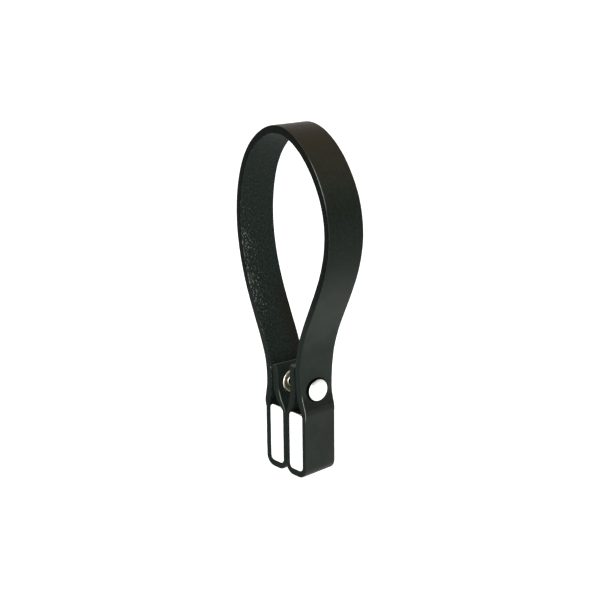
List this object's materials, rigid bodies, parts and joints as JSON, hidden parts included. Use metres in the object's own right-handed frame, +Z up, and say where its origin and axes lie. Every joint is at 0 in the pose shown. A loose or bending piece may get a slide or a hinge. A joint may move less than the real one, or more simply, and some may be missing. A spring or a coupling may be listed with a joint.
{
  "type": "leather strap loop with press-stud pockets",
  "caption": "Leather strap standing as a teardrop loop, its ends folded round flat plated bars and closed with press studs.",
  "frame": {"origin": "centre of the loop's footprint, on the surface that both pockets stand on", "axes": "+Z up through the crown, +Y across the crown's width, X from the left side to the right one. The pair of pockets is turned 7 degrees about Z"},
  "size_m": [0.0635, 0.0187, 0.1398],
  "materials": {
    "leather": "smooth black grain outside, duller flesh side inside, burnished edges",
    "bar_nickel": "bright nickel plate",
    "stud_nickel": "polished nickel plate",
    "spring_brass": "drawn wire"
  },
  "bodies": {
    "crown": {"strap_crown": "leather"},
    "left_leg": {"left_strap_leg": "leather", "left_snap_cap": "stud_nickel", "left_snap_socket": "stud_nickel", "left_ring_spring": "spring_brass"},
    "right_leg": {"right_strap_leg": "leather", "right_snap_cap": "stud_nickel", "right_snap_socket": "stud_nickel", "right_ring_spring": "spring_brass"},
    "left_tongue_body": {"left_tongue": "leather", "left_snap_stud": "stud_nickel", "left_snap_eyelet": "stud_nickel"},
    "right_tongue_body": {"right_tongue": "leather", "right_snap_stud": "stud_nickel", "right_snap_eyelet": "stud_nickel"},
    "left_bar_body": {"left_bar": "bar_nickel"},
    "right_bar_body": {"right_bar": "bar_nickel"}
  },
  "joints": [
    {"name": "left_shoulder", "type": "hinge", "parent": "crown", "child": "left_leg", "pos_m": [-0.0319, 0, 0.1003], "axis": [0, 1, 0], "range_deg": [0, 25], "stiffness_Nm_per_rad": 0.08},
    {"name": "right_shoulder", "type": "hinge", "parent": "crown", "child": "right_leg", "pos_m": [0.0319, 0, 0.1003], "axis": [0, -1, 0], "range_deg": [0, 25], "stiffness_Nm_per_rad": 0.08},
    {"name": "left_stud_pull", "type": "slide", "parent": "left_leg", "child": "left_tongue_body", "axis": [0.9971, 0.0764, 0], "range_m": [0, 0.0025]},
    {"name": "right_stud_pull", "type": "slide", "parent": "right_leg", "child": "right_tongue_body", "axis": [-0.9971, -0.0764, 0], "range_m": [0, 0.0025]},
    {"name": "left_bar_slide", "type": "slide", "parent": "left_leg", "child": "left_bar_body", "axis": [0.1219, -0.9925, 0], "range_m": [0, 0.018]},
    {"name": "right_bar_slide", "type": "slide", "parent": "right_leg", "child": "right_bar_body", "axis": [0.1219, -0.9925, 0], "range_m": [0, 0.018]}
  ]
}
